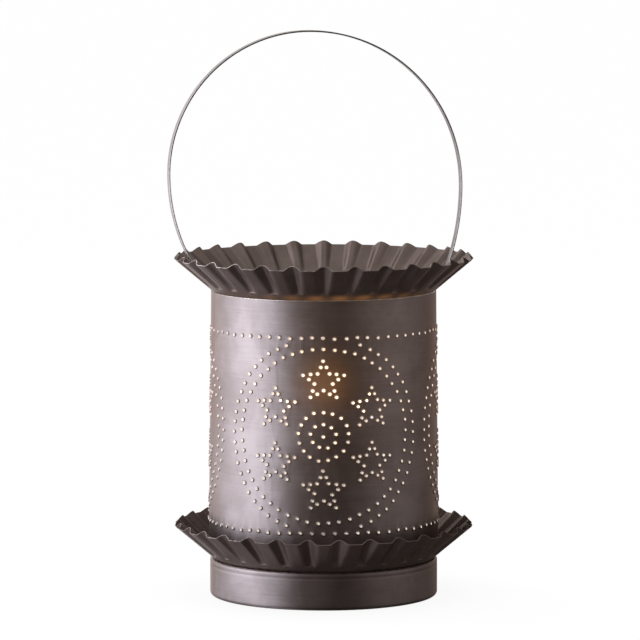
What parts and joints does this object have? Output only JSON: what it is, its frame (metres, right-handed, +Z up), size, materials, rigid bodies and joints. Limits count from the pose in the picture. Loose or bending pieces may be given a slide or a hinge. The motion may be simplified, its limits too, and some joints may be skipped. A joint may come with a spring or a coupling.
{
  "type": "wax tart warmer",
  "caption": "Punched-tin lantern that warms scented wax: pierced round body over a lamp, crimped pie pans below and on top, rolled cup base and a tall strap handle.",
  "frame": {"origin": "middle of the underside of the base cup, on the table", "axes": "+Z up the lamp axis, -Y towards the front of the punched pattern, seam and cord inlet at +Y"},
  "size_m": [0.1941, 0.1904, 0.3603],
  "materials": {
    "tin": "darkened tin plate, brushed, satin",
    "strap": "tin strap, brushed, paler than the sheet",
    "solder": "dull soft solder",
    "steel": "zinc-plated steel",
    "brass": "thin spun brass, satin",
    "rubber": "moulded black rubber",
    "phenolic": "moulded black insulator",
    "fibre": "rolled fibre tube",
    "black_glass": "opaque black glass",
    "frosted_glass": "frosted inside, lit warm",
    "clear_glass": "clear drawn glass",
    "tungsten": "coiled wire, lit"
  },
  "bodies": {
    "lantern": {"base_cup": "tin", "cord_grommet": "rubber", "lower_pan": "tin", "pan_solder": "solder", "pipe_nipple": "steel", "pipe_washers": "steel", "pipe_nuts": "steel", "holder_cap": "brass", "holder_block": "phenolic", "terminal_screws": "brass", "centre_contact": "brass", "screw_shell": "brass", "insulating_sleeve": "fibre", "holder_shell": "brass", "body_shell": "tin", "body_solder": "solder"},
    "wax_pan": {"upper_pan": "tin", "handle": "strap", "handle_solder": "solder"},
    "lamp_foot": {"lamp_tip": "solder", "lamp_insulator": "black_glass"},
    "lamp": {"lamp_base": "steel", "lamp_glass": "frosted_glass", "lamp_stem": "clear_glass", "lamp_leads": "steel", "lamp_filament": "tungsten"}
  },
  "joints": [
    {"name": "wax_lift", "type": "slide", "parent": "lantern", "child": "wax_pan", "axis": [0, 0, 1], "range_m": [0, 0.12]},
    {"name": "lamp_rise", "type": "slide", "parent": "lantern", "child": "lamp_foot", "axis": [0, 0, 1], "range_m": [0, 0.0145]},
    {"name": "lamp_turn", "type": "hinge", "parent": "lamp_foot", "child": "lamp", "pos_m": [0, 0, 0.0566], "axis": [0, 0, 1], "range_deg": [0, 1440]}
  ],
  "couplings": [
    {"joint": "lamp_rise", "follows": "lamp_turn", "m_per_rad": 0.00057296}
  ]
}
